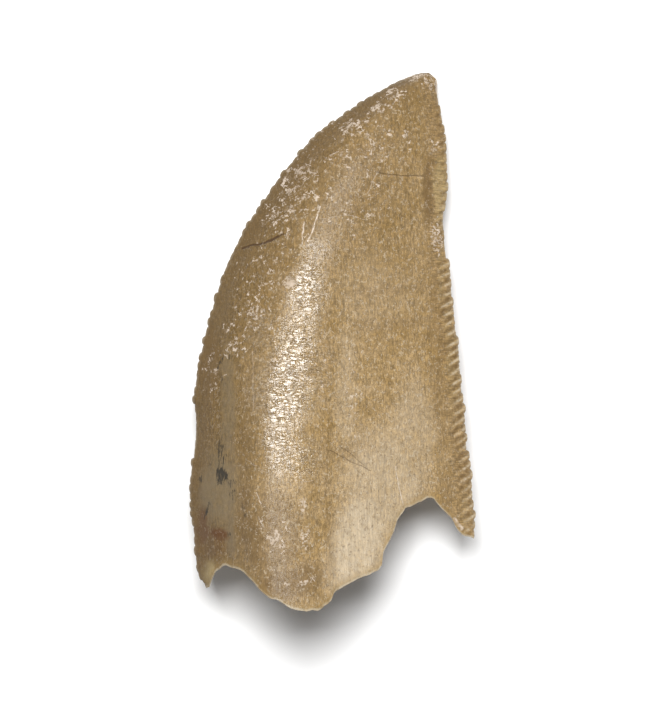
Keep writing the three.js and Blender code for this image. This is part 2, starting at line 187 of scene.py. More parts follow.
# Regions of the cheek side seen from above: x, y, half width, half height, turn, strength
REGIONS = {
    "pale": [
        (1.3, -10.2, 1.5, 3.2, -12, 1.0), (2.6, -7.4, 2.2, 3.4, 0, 0.6), (4.0, -5.2, 1.3, 3.4, 0, 0.4),
        (0.7, -2.6, 0.6, 3.6, 0, 0.3), (2.2, 2.4, 2.2, 2.2, 0, 0.15),
    ],
    "brown": [
        # The brown blobs along the front flank are partly stain and partly painted shade of the face that
        # turns from the light
        (-6.2, -0.9, 0.6, 2.8, 3, 0.9), (-4.2, -5.5, 0.45, 4.2, 0, 0.4),
        (-0.25, -8.6, 0.17, 4.4, 1, 0.6), (-0.2, -1.5, 0.25, 4.2, 0, 0.3),
        (4.88, 7.5, 0.3, 2.0, -3, 1.7), (-4.0, 5.6, 1.4, 1.8, -35, 0.35), (5.3, -1.2, 0.5, 5.2, 2, 0.6),
        (2.9, 2.45, 2.6, 0.25, 3, 0.5), (2.9, 0.75, 2.6, 0.4, 4, 0.5), (-4.3, -8.6, 0.35, 1.8, 0, 1.3),
        (-3.9, -9.9, 0.9, 2.0, 20, 1.3), (-2.2, -12.2, 2.2, 1.1, 15, 1.5),
        (0.9, -5.6, 2.0, 0.5, 10, 0.3), (5.6, -7.6, 0.4, 1.6, 0, 0.6), (2.6, 11.4, 2.6, 0.5, 30, 0.4),
        (-2.9, -9.8, 1.7, 2.4, 0, 1.1), (-4.45, -5.9, 0.2, 2.4, 0, 0.7), (-5.0, -9.3, 1.5, 1.9, 0, 0.5),
        (-0.3, 7.6, 3.6, 2.2, 50, 0.35), (-2.6, 3.8, 1.0, 2.2, -15, 0.35),
        (-3.2, -4.6, 0.5, 3.6, 0, 0.3),
    ],
    "grey": [
        (-5.2, -3.4, 0.4, 3.6, 1, 0.8), (-5.6, -7.4, 1.1, 2.2, 0, 1.0), (-6.1, -7.7, 0.6, 1.2, 0, 1.1),
        (-5.6, 1.4, 0.5, 1.6, -12, 0.3), (-5.0, -9.4, 0.35, 1.6, 0, 0.8),
    ],
    "rust": [
        (-6.45, -9.4, 0.34, 0.9, 0, 1.25), (-5.6, -9.75, 0.6, 0.36, 0, 1.15),
        (-6.0, -10.2, 0.8, 0.9, 0, 0.4),
    ],
    "yellow": [
        (5.42, 7.5, 0.26, 2.1, -2, 1.0), (-6.15, -12.0, 0.4, 0.9, 0, 1.0), (5.5, 3.2, 0.2, 1.6, 0, 0.4),
        (5.9, -0.5, 0.2, 3.6, 3, 0.45), (6.6, -8.6, 0.2, 1.6, 0, 0.4),
    ],
    "spot": [
        (-5.5, -6.75, 0.34, 0.46, 8, 1.38), (-5.42, -5.6, 0.24, 1.0, 2, 0.6),
        (-6.55, -7.1, 0.14, 0.3, 0, 0.8), (-6.25, -8.5, 0.12, 0.6, -8, 0.9),
        (-5.05, -7.2, 0.2, 0.2, 0, 0.75), (-4.8, -7.2, 0.15, 0.2, 0, 0.75),
        (-4.8, -7.75, 0.2, 0.4, 10, 0.65), (-4.35, -8.5, 0.2, 0.5, 10, 0.6),
        (-5.55, -1.2, 0.1, 0.5, 0, 0.75), (-5.0, -9.6, 0.2, 0.3, 0, 0.6),
        (-6.0, -6.2, 0.15, 0.2, 0, 0.7), (-5.15, -1.0, 0.08, 0.45, -6, 0.75),
        (-5.45, -2.0, 0.1, 0.35, 5, 0.75), (3.35, 6.25, 0.09, 0.09, 0, 0.8),
    ],
    "fleck": [
        (-1.6, 8.1, 1.3, 0.9, 20, 0.95), (-1.7, 7.2, 0.9, 0.7, 0, 0.9), (-2.5, 6.4, 1.2, 1.0, 30, 0.85),
        (0.35, 9.2, 0.7, 0.4, 10, 1.0), (2.1, 9.5, 0.7, 0.4, 0, 1.0), (2.4, 8.9, 0.5, 0.35, 0, 0.85),
        (1.15, 10.6, 1.2, 0.6, 10, 0.9), (3.3, 12.3, 0.8, 0.5, 25, 0.95),
        (4.2, 13.05, 0.7, 0.3, 10, 1.1), (2.4, 11.6, 1.1, 0.5, 30, 0.8), (3.75, 9.9, 0.3, 0.7, 0, 0.85),
        (0.97, 6.6, 0.4, 0.35, 0, 0.85), (-3.8, 1.6, 0.6, 0.6, 0, 0.85),
        (-5.4, 0.45, 0.35, 0.35, 0, 0.85), (-2.8, 3.9, 0.35, 0.3, 0, 0.8),
        (-3.35, 2.7, 0.5, 0.25, 0, 0.95), (-3.7, 0.7, 0.2, 0.35, 0, 0.9),
        (-4.9, -0.4, 0.9, 0.6, 10, 0.85), (-2.2, 2.85, 0.33, 0.33, 0, 2.1),
        (-3.1, -7.35, 0.25, 0.3, 0, 0.9), (-1.5, -8.35, 0.22, 0.8, 0, 1.3),
        (-1.3, -9.75, 0.22, 0.8, 0, 1.2), (-2.75, -9.9, 0.6, 0.85, 0, 1.1),
        (-2.9, -10.1, 0.26, 0.26, 0, 1.8), (-1.7, -12.1, 1.0, 0.2, 4, 0.9),
        (-2.8, -11.5, 0.45, 0.15, 0, 0.9), (-3.6, -9.2, 0.2, 0.9, 15, 0.7),
        (5.1, 9.6, 0.3, 0.5, 0, 0.9), (5.25, 5.1, 0.35, 1.0, 0, 1.15), (4.9, 12.9, 0.6, 0.5, 0, 0.9),
        (-2.4, 5.0, 0.5, 0.6, 0, 0.7), (-5.9, -1.7, 0.6, 1.2, 0, 0.6), (0.2, 8.0, 4.5, 3.4, 40, 0.42),
        # The long blob at x 1.1, y -3.0 paints glints of the enamel as pale flecks
        (-3.6, 2.4, 1.8, 3.6, -20, 0.45), (1.1, -3.0, 0.5, 3.6, 0, 0.5), (-0.4, -3.0, 0.4, 3.5, 0, 0.5),
        (-2.0, -10.4, 1.4, 2.2, 0, 0.3),
    ],
    "wrinkle": [
        (-1.2, 2.3, 1.1, 1.6, 0, 1.0), (-1.6, -1.4, 1.4, 3.2, 0, 1.0), (-2.6, -2.6, 1.6, 2.3, 0, 1.0),
        (-2.9, -5.0, 1.0, 0.7, 0, 0.9), (-1.2, -6.0, 0.8, 1.4, 0, 0.9), (-0.9, 4.3, 0.9, 0.8, 0, 0.35),
        (-3.2, 0.4, 1.0, 1.2, 0, 0.7), (-2.2, -5.6, 1.6, 1.3, 0, 0.6),
    ],
}

REGION_WANDER = ((0.16, 0.7), (0.08, 0.25))  # how far a region's outline strays, over what distance
REGION_EDGE = (0.45, 1.25)  # of a region's size, over which it fades

# Kinds of region that are scattered at random over the tongue side, which the photo doesn't show
UNSEEN_SEEDS = {"yellow": 65, "pale": 61, "brown": 62, "grey": 63, "fleck": 64}
UNSEEN_SIZE = 3.0
UNSEEN_CONTRAST = 1.6
UNSEEN_CUT = 0.5
UNSEEN_LIMIT = 0.7

# Marks on the cheek side: width, strength and the points that each runs through
CRACKS = [
    (0.06, 0.9, [(-4.5, 4.55), (-3.9, 4.72), (-3.4, 4.78)]),
    (0.085, 0.95, [(-3.4, 4.78), (-2.95, 5.0), (-2.7, 5.15)]),
    (0.06, 0.75, [(-2.7, 5.15), (-2.4, 5.25)]),
    (0.035, 0.45, [(2.2, 8.4), (2.9, 8.2), (4.55, 8.15)]),
    (0.03, 0.35, [(-0.1, -5.55), (1.9, -6.55)]),
    (0.03, 0.3, [(0.4, -5.3), (1.6, -6.3)]),
]
SCRATCHES = [
    (0.06, 0.9, [(-0.6, 6.6), (-0.85, 5.7), (-1.2, 4.85)]),
    (0.05, 0.8, [(-1.4, 5.85), (-1.5, 4.75)]),
    (0.03, 0.45, [(-0.8, 5.95), (0.6, 6.2), (1.75, 5.95)]),
    (0.025, 0.5, [(2.3, 8.4), (1.75, 7.25)]),
    (0.035, 0.7, [(3.15, -6.3), (3.3, -7.25), (3.55, -8.25)]),
    (0.05, 0.9, [(5.2, 12.95), (5.3, 12.35)]),
    (0.03, 0.3, [(-3.95, -0.6), (-3.9, -3.6)]),
    (0.13, 0.8, [(6.12, -9.0), (6.5, -9.5)]),
    (0.04, 0.7, [(-3.75, -7.65), (-3.5, -8.15)]),
    (0.02, 0.4, [(-4.2, -6.05), (-2.35, -7.15), (-0.9, -7.05)]),
]

# Jags of the broken rim: height as a share of the edges' length, sizes in u, and the calm ends
RIM_JAG = 0.0022
RIM_JAG_SIZES = (0.06, 0.021)
RIM_CALM = 0.04
RIM_SEARCH = (-0.1, 0.6)  # v between which every column meets the rim
RIM_HALVINGS = 40

# Mesh resolution
EDGE_COLUMNS = 13  # of each face, over the ribs of one edge
FACE_COLUMNS = 74  # of each face, between the ribs
EDGE_BAND = 0.085  # of u that the edge columns cover
ROWS = 440
ROW_CROWDING = 1.12
PULP_ROWS = 20
SHARP_ANGLE = 55  # degrees between two faces from which their edge is drawn sharp


# Noise

def lattice(ix, iy, iz, seed):
    """A fixed random number from 0 to 1 for each point of an integer lattice."""
    mixed = ix * 374761393 + iy * 668265263 + iz * 2147483647 + seed * 144665
    mixed = (mixed ^ (mixed >> 13)) * 1274126177
    return ((mixed ^ (mixed >> 16)) & 0xFFFFFF) / 0xFFFFFF


def noise(x, y, z, size, seed):
    """Smooth noise from -1 to 1 whose bumps are about size across."""
    place = [np.asarray(c) / size + 1000.0 for c in (x, y, z)]
    cell = [np.floor(c).astype(np.int64) for c in place]
    part = [c - i for c, i in zip(place, cell)]
    part = [t * t * (3 - 2 * t) for t in part]
    total = 0.0
    for corner in np.ndindex(2, 2, 2):
        weight = 1.0
        for t, side in zip(part, corner):
            weight = weight * (t if side else 1 - t)
        total = total + weight * lattice(*(i + side for i, side in zip(cell, corner)), seed)
    return 2 * total - 1


# Curves and the skin

class Edge:
    """A smooth curve through points in plan, placed by the share v of its length."""

    SAMPLES = 60  # between two points

    def __init__(self, points):
        p = np.array(points, float)
        p = np.vstack([2 * p[0] - p[1], p, 2 * p[-1] - p[-2]])
        t = np.linspace(0, 1, self.SAMPLES, endpoint=False)[:, None]
        spans = []
        for a, b, c, d in zip(p, p[1:], p[2:], p[3:]):
            spans.append(0.5 * (2 * b + (c - a) * t + (2 * a - 5 * b + 4 * c - d) * t ** 2
                                + (3 * b - a - 3 * c + d) * t ** 3))
        self.path = np.vstack([*spans, p[-2]])
        steps = np.linalg.norm(np.diff(self.path, axis=0), axis=1)
        self.along = np.concatenate([[0], np.cumsum(steps)])
        self.length = self.along[-1]

    def at(self, v):
        s = np.clip(v, 0, 1) * self.length
        return np.stack([np.interp(s, self.along, self.path[:, i]) for i in (0, 1)], axis=-1)

    def heading(self, v):
        step = 0.004
        ahead = self.at(np.clip(v + step, 0, 1)) - self.at(np.clip(v - step, 0, 1))
        return ahead / np.linalg.norm(ahead, axis=-1, keepdims=True)


front_edge = Edge(FRONT_EDGE)
rear_edge = Edge(REAR_EDGE)


def blend(a, b, t):
    return a + (b - a) * t


def smoothstep(x, low, high):
    t = np.clip((x - low) / (high - low), 0, 1)
    return t * t * (3 - 2 * t)


def plan_point(u, v):
    u = np.asarray(u, float)[..., None]
    place = blend(front_edge.at(v), rear_edge.at(v), u)
    sag = BASE_BOW * (1 - np.asarray(v)) * 4 * u[..., 0] * (1 - u[..., 0])
    return place[..., 0], place[..., 1] - sag


def width_at(v):
    return np.linalg.norm(rear_edge.at(v) - front_edge.at(v), axis=-1)


def lens(u, crest, front_power, rear_power):
    """Half of a cross-section: 0 at both edges and 1 at the crest."""
    front = 1 - np.clip((crest - u) / crest, 0, 1) ** front_power
    rear = 1 - np.clip((u - crest) / (1 - crest), 0, 1) ** rear_power
    return np.where(u < crest, front, rear)


def cheek_height(u, v):
    from_tip = np.clip(1 - v, 0, None)
    rear_power = blend(*CHEEK_REAR_POWER, v)
    face = CHEEK_DEPTH * from_tip ** SWELL_POWER * lens(u, CHEEK_CREST, CHEEK_FRONT_POWER, rear_power)
    ridge = np.exp(-np.abs((u - RIDGE_U) / RIDGE_HALF_WIDTH) ** RIDGE_SQUARENESS)
    ridge = ridge * (1 + RIDGE_TILT * smoothstep(from_tip, *RIDGE_TILTS) * (RIDGE_U - u))
    return face + RIDGE_HEIGHT * smoothstep(from_tip, *RIDGE_FADES) * ridge


def tongue_depth(u, v):
    return TONGUE_DEPTH * np.clip(1 - v, 0, None) ** SWELL_POWER * lens(u, TONGUE_CREST, *TONGUE_POWER)


def edge_level(v):
    from_tip = 1 - v
    wave = UNDERSIDE_WAVE * from_tip * (from_tip - WAVE_ZERO) * (from_tip - 1)
    return TONGUE_DEPTH * np.hypot(from_tip, NOSE) ** SWELL_POWER + wave


def rim_v(u, outline):
    """The v at which each column u meets a rim outline."""
    xs, ys = np.array(outline).T
    low, high = (np.full_like(u, limit) for limit in RIM_SEARCH)
    for _ in range(RIM_HALVINGS):
        middle = (low + high) / 2
        x, y = plan_point(u, middle)
        below = y < np.interp(x, xs, ys)
        low, high = np.where(below, middle, low), np.where(below, high, middle)
    return np.where((u == 0) | (u == 1), 0.0, high)


class Ring:
    """The columns of the skin, over the cheek side from front to rear and back over the tongue side."""

    def __init__(self):
        band = np.linspace(0, EDGE_BAND, EDGE_COLUMNS)
        middle = np.linspace(EDGE_BAND, 1 - EDGE_BAND, FACE_COLUMNS + 1)[1:-1]
        self.across = np.concatenate([band, middle, 1 - band[::-1]])
        self.stations = len(self.across)
        self.u = np.concatenate([self.across, self.across[-2:0:-1]])
        self.side = np.where(np.arange(len(self.u)) < self.stations, 1.0, -1.0)
        self.foot = np.concatenate([self.jagged(CHEEK_RIM, 51), self.jagged(TONGUE_RIM, 52)[-2:0:-1]])

    def jagged(self, outline, seed):
        """The v at which each station meets a rim outline, with the small jags of the break."""
        calm = smoothstep(self.across, 0, RIM_CALM) * smoothstep(1 - self.across, 0, RIM_CALM)
        jags = sum(noise(self.across, 0, 0, size, seed) for size in RIM_JAG_SIZES)
        return rim_v(self.across, outline) + RIM_JAG * calm * jags

    def tongue(self, i):
        """The place in the ring of the tongue side's column at station i."""
        return i if i in (0, self.stations - 1) else len(self.u) - i


ring = Ring()


def serration(denticles, s, seed):
    """(share of a rib, how far its denticle stands out) at a distance along an edge."""
    index = np.floor(s / denticles["pitch"])
    phase = s / denticles["pitch"] - index
    off_peak = np.where(phase < PEAK, 1 - phase / PEAK, 1 - (1 - phase) / (1 - PEAK))
    limits, outs = zip(*denticles["stand_out"])
    centre = (index + 0.5) * denticles["pitch"]
    out = np.array(outs)[np.searchsorted(limits[:-1], centre, side="right")]
    varied = blend(*STAND_OUT_RANGE, lattice(index.astype(np.int64) + 50, 0, 0, seed))
    return 1 - off_peak ** DENTICLE_ROUNDNESS, out * varied


def outer_skin():
    """Points and masks of the outside, by row and by place in the ring."""
    share = 1 - (1 - np.arange(ROWS) / ROWS) ** ROW_CROWDING
    v = blend(ring.foot[None, :], 1.0, share[:, None])
    u = np.broadcast_to(ring.u, v.shape)
    cheek = np.broadcast_to(ring.side > 0, v.shape)
    x, y = plan_point(u, v)
    level = edge_level(v)
    z = np.where(cheek, level + cheek_height(u, v), level - tongue_depth(u, v))
    place = np.stack([x, y, z], axis=-1)
    masks = {"cheek": cheek.astype(float), "u": u, "v": v}
    masks["rim"] = (v - ring.foot) * rear_edge.length
    masks.update(region_masks(place, cheek))
    make_denticles(place, masks, u, v)
    place += normals(place) * relief(place, masks, u, v, cheek)[..., None]
    past = np.clip((place - FACET_POINT) @ FACET_NORMAL, 0, None)
    place -= past[..., None] * FACET_NORMAL
    place[..., 2] = np.clip(place[..., 2], 0, None)
    return place, masks


def wandered(values, place, seed):
    """One coordinate pushed about by noise, so that the regions have uneven outlines."""
    for k, (push, size) in enumerate(REGION_WANDER):
        values = values + push * noise(*place, size, seed + k)
    return values


def region_masks(place, cheek):
    """How strongly each kind of region shows at each point."""
    x, y, z = np.moveaxis(place, -1, 0)
    bent_x, bent_y = wandered(x, (x, y, z), 31), wandered(y, (x, y, z), 33)
    masks = {}
    for name, blobs in REGIONS.items():
        total = np.zeros_like(x)
        for centre_x, centre_y, half_width, half_height, turn, strength in blobs:
            angle = math.radians(turn)
            along = (bent_x - centre_x) * math.cos(angle) + (bent_y - centre_y) * math.sin(angle)
            up = (bent_y - centre_y) * math.cos(angle) - (bent_x - centre_x) * math.sin(angle)
            away = np.hypot(along / half_width, up / half_height)
            total = np.maximum(total, strength * (1 - smoothstep(away, *REGION_EDGE)))
        unseen = 0.0
        if name in UNSEEN_SEEDS:
            scattered = noise(x, y, z, UNSEEN_SIZE, UNSEEN_SEEDS[name]) * UNSEEN_CONTRAST
            unseen = np.clip(scattered - UNSEEN_CUT, 0, UNSEEN_LIMIT)
        masks[name] = np.where(cheek, total, unseen)
    return masks


def make_denticles(place, masks, u, v):
    """Pushes the cutting edges out at each denticle, and marks ribs, notches and edge zones."""
    masks["rib"], masks["notch"] = np.zeros_like(v), np.zeros_like(v)
    stray, stray_size = PLACE_WANDER
    usual, varies = REACH_VARIES
    shows, more = RIB_SHOWS
    worn = smoothstep(v, *WORN_SPAN)
    for name, edge, denticles, from_edge, outward, seed in (
        ("front_zone", front_edge, FRONT_DENTICLES, u, -1, 3),
        ("rear_zone", rear_edge, REAR_DENTICLES, 1 - u, 1, 7),
    ):
        inward = from_edge * width_at(v)
        s = v * edge.length + inward * denticles["lean"]
        s = s + stray * noise(s, inward * WANDER_STRETCH, 0, stray_size, seed + 20)
        rib, out = serration(denticles, s, seed)
        out = out * smoothstep(1 - v, 0.0, BARE_TIP)
        heading = edge.heading(v)
        taper = np.clip(1 - inward / TOOTH_TAPER, 0, 1) ** TAPER_POWER
        push = out * (1 - GAP_DEPTH + GAP_DEPTH * rib ** POINT_POWER) * taper
        place[..., 0] += outward * heading[..., 1] * push
        place[..., 1] -= outward * heading[..., 0] * push
        reach = denticles["reach"] * (1 - WORN_REACH * worn)
        reach = reach * (usual + varies * noise(*np.moveaxis(place, -1, 0), REACH_WANDER, seed + 40))
        fade = 1 - smoothstep(inward, RIB_START * reach, reach)
        present = np.clip((out - shows) / more, 0, 1) * fade * denticles["contrast"]
        present = present * (1 - WORN_CONTRAST * worn)
        masks["rib"] += rib ** 2 * present
        masks["notch"] += (1 - rib) * present
        masks[name] = np.clip(inward / EDGE_ZONE, 0, 1)


def normals(place):
    """Unit normals of the skin, out of the crown."""
    up = np.gradient(place, axis=0)
    around = np.roll(place, -1, axis=1) - np.roll(place, 1, axis=1)
    out = np.cross(up, around)
    return out / np.maximum(np.linalg.norm(out, axis=-1, keepdims=True), 1e-9)


def relief(place, masks, u, v, cheek):
    """How far the surface stands above the plain skin, in millimetres."""
    x, y, z = np.moveaxis(place, -1, 0)
    height = RIB_RISE * masks["rib"] - NOTCH_DEPTH * masks["notch"]
    for rise, size, seed in SWELLS:
        height = height + rise * noise(x, y, z, size, seed)
    rise, size, seed = WRINKLES
    height = height + rise * noise(x / WRINKLE_STRETCH, y, z, size, seed) * masks["wrinkle"]
    rise, size, seed = CRUST
    height = height + rise * np.clip(masks["fleck"], 0, 1) * noise(x, y, z, size, seed)
    grooves = sum(np.exp(-((u - middle) / half_width) ** 2) for middle, half_width in GROOVES)
    grooves = GROOVE_DEPTH * grooves * smoothstep(1 - v, *GROOVE_FADES)
    return smoothstep(1 - v, 0.0, CALM_TIP) * (height - np.where(cheek, grooves, 0))


def pulp_rows():
    """Points of the hollow's wall by row from the rim, for each place in the ring."""
    depth = np.linspace(0, 1, PULP_ROWS + 1)[:, None]
    u = ring.u[None, :]
    opposite = ring.foot[[ring.tongue(i) for i in range(ring.stations)]]
    mean = (ring.foot[: ring.stations] + opposite) / 2
    mean = np.concatenate([mean, mean[-2:0:-1]])
    across = np.clip((u - PULP_SPAN[0]) / (PULP_SPAN[1] - PULP_SPAN[0]), 0, 1)
    opening = 1 - np.abs(2 * across - 1) ** PULP_SQUARENESS
    closing = np.clip(np.cos(depth * math.pi / 2), 0, 1) ** PULP_BLUNTNESS
    v = blend(blend(mean, ring.foot, opening), PULP_END, np.sin(depth * math.pi / 2))
    at = blend(PULP_MIDDLE, u, closing)
    height = np.where(ring.side > 0, cheek_height(at, v), tongue_depth(at, v))
    reach = np.clip(height - blend(RIM_WALL, DEEP_WALL, depth), 0, None) * opening * closing
    x, y = plan_point(at, v)
    z = edge_level(v) + ring.side * reach
    rough = sum(rise * noise(x, y, z, size, seed) for rise, size, seed in PULP_ROUGHNESS)
    z = z + ring.side * rough * opening * closing
    return np.stack([x, y, z], axis=-1)


# The mesh

class Skin:
    """Collects points and faces, and the masks that the materials read."""

    MASKS = ("cheek", "u", "v", "rim", "rib", "notch", "front_zone", "rear_zone", *REGIONS)

    def __init__(self):
        self.points, self.faces, self.finishes = [], [], []
        self.masks = {name: [] for name in self.MASKS}

    def add(self, points, masks=None):
        """Adds a row of points, with masks of 0 if none are given, and returns their numbers."""
        first = len(self.points)
        self.points.extend(points)
        for name in self.MASKS:
            values = np.zeros(len(points)) if masks is None else masks[name]
            self.masks[name].extend(values)
        return np.arange(first, first + len(points))

    def face(self, *corners, finish=0):
        kept = [c for i, c in enumerate(corners) if c != corners[i - 1]]
        if len(kept) > 2:
            self.faces.append(kept)
            self.finishes.append(finish)

    def join(self, outer, inner, finish=0):
        """Faces between two closed rows. The inner is nearer the tip, or in the hollow, the rim."""
        for k in range(len(outer)):
            j = (k + 1) % len(outer)
            self.face(outer[k], outer[j], inner[j], inner[k], finish=finish)


def crown_skin():
    skin = Skin()
    place, masks = outer_skin()
    rows = [skin.add(place[i], {name: masks[name][i] for name in Skin.MASKS}) for i in range(ROWS)]
    tip_place = place[-1].mean(axis=0)[None, :]
    tip = skin.add(tip_place, {name: masks[name][-1].mean()[None] for name in Skin.MASKS})[0]
    for low, high in zip(rows, rows[1:]):
        skin.join(low, high)
    skin.join(rows[-1], np.full(len(ring.u), tip))
    broken_base(skin, rows[0])
    return skin


def broken_base(skin, rim):
    """The broken face of the rim and the hollow behind it."""
    hollow = np.flatnonzero((ring.across > PULP_SPAN[0]) & (ring.across < PULP_SPAN[1]))
    first, last = hollow[0] - 1, hollow[-1] + 1
    cheek = list(rim[: ring.stations])
    tongue = [rim[ring.tongue(i)] for i in range(ring.stations)]
    spots = [*range(first, last + 1), *(ring.tongue(i) for i in range(last - 1, first, -1))]

    wall = pulp_rows()
    inner = []
    for depth, points in enumerate(wall[:-1]):
        points = points[spots]
        if depth == 0:
            for end, i in ((0, first), (last - first, last)):
                points[end] = (np.array(skin.points[cheek[i]]) + skin.points[tongue[i]]) / 2
        inner.append(skin.add(points))
    end = skin.add(wall[-1][:1])[0]
    mouth = list(inner[0]) + [inner[0][0]]
    over, under = mouth[: last - first + 1], mouth[: last - first - 1 : -1]

    for i in [*range(0, first), *range(last, ring.stations - 1)]:
        corners = [cheek[i + 1], cheek[i], tongue[i], tongue[i + 1]]
        if i == first - 1:
            corners.append(over[0])
        if i == last:
            corners.insert(2, over[-1])
        skin.face(*corners, finish=1)
    for k, i in enumerate(range(first, last)):
        skin.face(over[k], over[k + 1], cheek[i + 1], cheek[i], finish=1)
        skin.face(under[k + 1], under[k], tongue[i], tongue[i + 1], finish=1)
    for low, high in zip(inner, inner[1:]):
        skin.join(high, low, finish=1)
    skin.join(np.full(len(spots), end), inner[-1], finish=1)


def make_crown():
    skin = crown_skin()
    mesh = bpy.data.meshes.new("tooth_crown_skin")
    mesh.from_pydata([tuple(p * MM) for p in skin.points], [], skin.faces)
    mesh.polygons.foreach_set("material_index", skin.finishes)
    mesh.polygons.foreach_set("use_smooth", np.ones(len(skin.faces), bool))
    mesh.set_sharp_from_angle(angle=math.radians(SHARP_ANGLE))
    for name, values in skin.masks.items():
        attribute = mesh.attributes.new(name, "FLOAT", "POINT")
        attribute.data.foreach_set("value", np.array(values, np.float32))
    mesh.update()
    crown = bpy.data.objects.new("tooth_crown_skin", mesh)
    bpy.context.collection.objects.link(crown)
    return crown


# Materials

class Paint:
    """Short names for the shader nodes of one material."""

    def __init__(self, name):
        self.material = bpy.data.materials.new(name)
        self.material.use_nodes = True
        self.tree = self.material.node_tree
        self.tree.nodes.clear()
        place = self.node("ShaderNodeTexCoord").outputs["Object"]
        scale = self.node("ShaderNodeVectorMath", operation="SCALE")
        self.tree.links.new(place, scale.inputs[0])
        scale.inputs["Scale"].default_value = 1 / MM
        self.place = scale.outputs[0]
        self.wander = None

    def node(self, kind, **settings):
        made = self.tree.nodes.new(kind)
        for name, value in settings.items():
            setattr(made, name, value)
        return made

    def put(self, socket, value):
        if isinstance(value, bpy.types.NodeSocket):
            self.tree.links.new(value, socket)
        elif isinstance(value, tuple) and len(value) == 3 and socket.type == "RGBA":
            socket.default_value = (*value, 1)
        else:
            socket.default_value = value

    def math(self, operation, *values, clamp=False):
        made = self.node("ShaderNodeMath", operation=operation, use_clamp=clamp)
        for socket, value in zip(made.inputs, values):
            self.put(socket, value)
        return made.outputs[0]

    def add(self, *values):
        total = values[0]
        for value in values[1:]:
            total = self.math("ADD", total, value)
        return total

    def times(self, *values):
        total = values[0]
        for value in values[1:]:
            total = self.math("MULTIPLY", total, value)
        return total

    def ramp(self, value, low, high, to_low=0.0, to_high=1.0):
        """value from low to high, smoothly, onto to_low to to_high."""
        made = self.node("ShaderNodeMapRange", interpolation_type="SMOOTHSTEP")
        for socket, number in zip(made.inputs, (value, low, high, to_low, to_high)):
            self.put(socket, number)
        return made.outputs[0]

    def mask(self, name):
        return self.node("ShaderNodeAttribute", attribute_name=name).outputs["Fac"]

    def mix(self, share, a, b, blend_type="MIX"):
        made = self.node("ShaderNodeMix", data_type="RGBA", blend_type=blend_type)
        self.put(made.inputs["Factor"], share)
        self.put(made.inputs["A"], a)
        self.put(made.inputs["B"], b)
        return made.outputs["Result"]

    def tint(self, color, factor):
        """A colour made lighter or darker by a factor."""
        made = self.node("ShaderNodeVectorMath", operation="SCALE")
        self.put(made.inputs[0], color)
        self.put(made.inputs["Scale"], factor)
        return made.outputs[0]

    def segment(self, start, end, width):
        """1 on a straight line between two points in plan, 0 from width away."""
        (x0, y0), (x1, y1) = start, end
        local = self.node("ShaderNodeMapping", vector_type="TEXTURE")
        self.put(local.inputs["Vector"], self.wandering())
        local.inputs["Location"].default_value = ((x0 + x1) / 2, (y0 + y1) / 2, 0)
        local.inputs["Rotation"].default_value = (0, 0, math.atan2(y1 - y0, x1 - x0))
        split = self.node("ShaderNodeSeparateXYZ")
        self.put(split.inputs[0], local.outputs[0])
        off_middle = self.math("ABSOLUTE", split.outputs["X"])
        beyond = self.math("SUBTRACT", off_middle, math.hypot(x1 - x0, y1 - y0) / 2)
        beyond = self.math("MAXIMUM", beyond, 0.0)
        squares = self.add(self.times(beyond, beyond), self.times(split.outputs["Y"], split.outputs["Y"]))
        return self.ramp(self.math("SQRT", squares), 0.3 * width, width, 1.0, 0.0)

    def wandering(self):
        """The place pushed about a little, made once, so that drawn lines aren't straight."""
        if self.wander is None:
            self.wander = self.place
            for size, strength in LINE_WANDER:
                self.wander = self.bent(self.wander, size, strength)
        return self.wander

    def stretched(self, scale, turn=0.0):
        """The place in millimetres, scaled along each axis and turned in plan."""
        made = self.node("ShaderNodeMapping")
        self.put(made.inputs["Vector"], self.place)
        made.inputs["Rotation"].default_value = (0, 0, turn)
        made.inputs["Scale"].default_value = scale
        return made.outputs[0]

    def noise(self, size, detail=3.0, roughness=0.55, distortion=0.0, vector=None):
        made = self.node("ShaderNodeTexNoise")
        self.put(made.inputs["Vector"], vector or self.place)
        made.inputs["Scale"].default_value = 1 / size
        made.inputs["Detail"].default_value = detail
        made.inputs["Roughness"].default_value = roughness
        made.inputs["Distortion"].default_value = distortion
        return made.outputs["Fac"]

    def bent(self, vector, size, strength):
        """A vector pushed about by noise, so that what it places isn't straight."""
        wander = self.node("ShaderNodeTexNoise")
        self.put(wander.inputs["Vector"], self.place)
        wander.inputs["Scale"].default_value = 1 / size
        wander.inputs["Detail"].default_value = 2
        centred = self.node("ShaderNodeVectorMath", operation="SUBTRACT")
        self.put(centred.inputs[0], wander.outputs["Color"])
        centred.inputs[1].default_value = (0.5, 0.5, 0.5)
        sized = self.node("ShaderNodeVectorMath", operation="SCALE")
        self.put(sized.inputs[0], centred.outputs[0])
        sized.inputs["Scale"].default_value = strength
        total = self.node("ShaderNodeVectorMath", operation="ADD")
        self.put(total.inputs[0], vector)
        self.put(total.inputs[1], sized.outputs[0])
        return total.outputs[0]

    def finish(self, color, roughness, height, gloss=0.0):
        """The material, with height in millimetres and gloss as the weight of a thin clear coat."""
        shader = self.node("ShaderNodeBsdfPrincipled")
        self.put(shader.inputs["Base Color"], color)
        self.put(shader.inputs["Roughness"], roughness)
        shader.inputs["Specular IOR Level"].default_value = SPECULAR
        bump = self.node("ShaderNodeBump")
        bump.inputs["Distance"].default_value = MM
        self.put(bump.inputs["Height"], height)
        self.put(shader.inputs["Normal"], bump.outputs[0])
        self.put(shader.inputs["Coat Weight"], gloss)
        shader.inputs["Coat Roughness"].default_value = COAT_ROUGHNESS
        self.put(shader.inputs["Coat Normal"], bump.outputs[0])
        output = self.node("ShaderNodeOutputMaterial")
        self.put(output.inputs["Surface"], shader.outputs[0])
        return self.material


